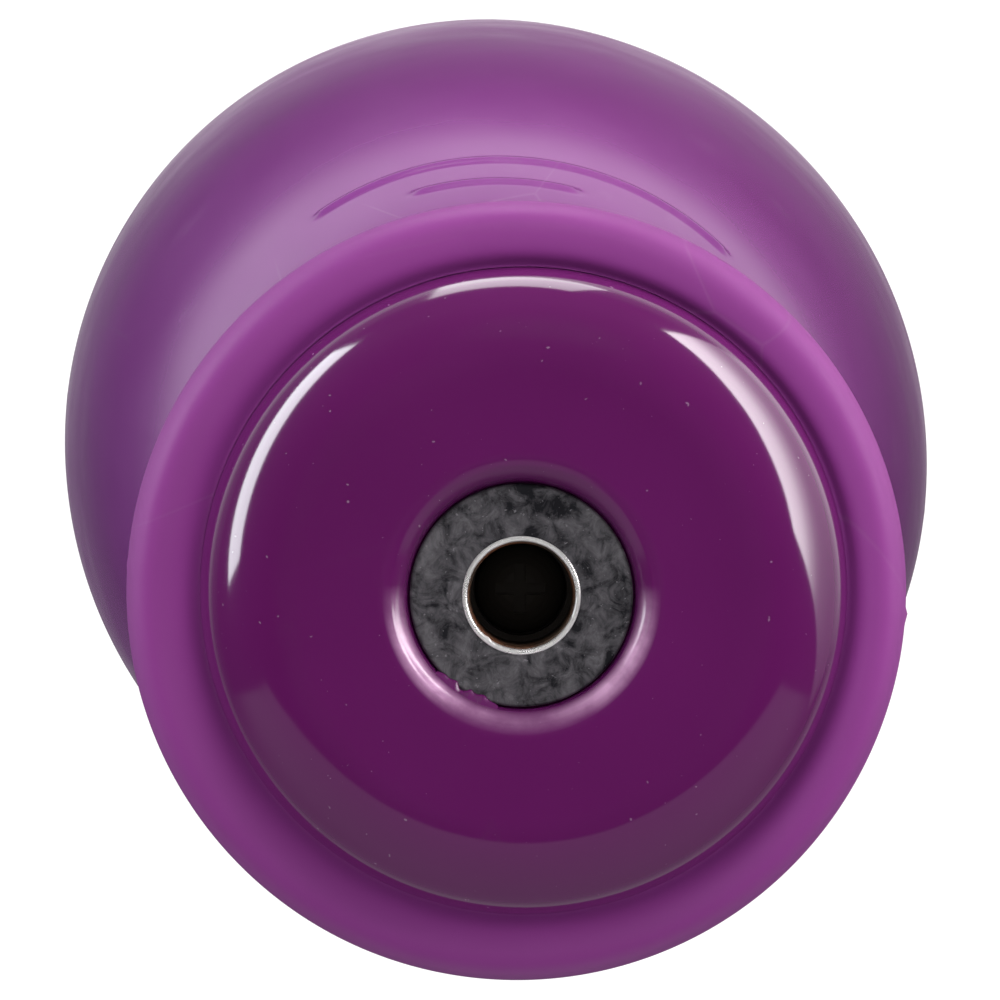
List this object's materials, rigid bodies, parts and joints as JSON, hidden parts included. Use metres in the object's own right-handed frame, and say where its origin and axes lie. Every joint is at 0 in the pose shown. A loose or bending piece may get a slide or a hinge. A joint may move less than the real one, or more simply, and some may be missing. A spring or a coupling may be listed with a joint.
{
  "type": "juggling club",
  "caption": "Composite juggling club with a satin knob, glossy face disc, steel-lined bore, white wrapped handle, hollow flared body and flat-ended crown cap.",
  "frame": {"origin": "centre of the flat resting ring on the crown cap", "axes": "+Z along the club's axis, from the crown towards the knob; X and Y are arbitrary"},
  "size_m": [0.0904, 0.0904, 0.52],
  "materials": {
    "knob_satin": "soft satin vinyl",
    "face_gloss": "polished, fine scratches",
    "zinc": "zinc-plated, mottled by handling",
    "bright_steel": "bright turned edge",
    "birch": "turned, unvarnished",
    "bushing_plastic": "moulded polyethylene",
    "foam": "closed-cell foam",
    "sleeve_white": "semi-gloss wrap with a fine grain",
    "tape": "vinyl tape",
    "body_purple": "satin blown polyethylene",
    "cap_purple": "soft foamed vinyl"
  },
  "bodies": {
    "root": {"knob_shell": "knob_satin", "knob_face": "face_gloss", "knob_washer": "zinc", "knob_ferrule": "bright_steel", "knob_screw": "zinc", "dowel": "birch", "grip_end_ring": "bushing_plastic", "grip_tacks": "bright_steel", "handle_foam": "foam", "handle_sleeve": "sleeve_white", "neck_bushing": "bushing_plastic", "neck_tacks": "bright_steel", "neck_tape": "tape", "body_shell": "body_purple", "crown_bushing": "bushing_plastic", "crown_cushion": "foam", "crown_cap": "cap_purple", "crown_washer": "zinc", "crown_screw": "zinc"}
  },
  "joints": []
}
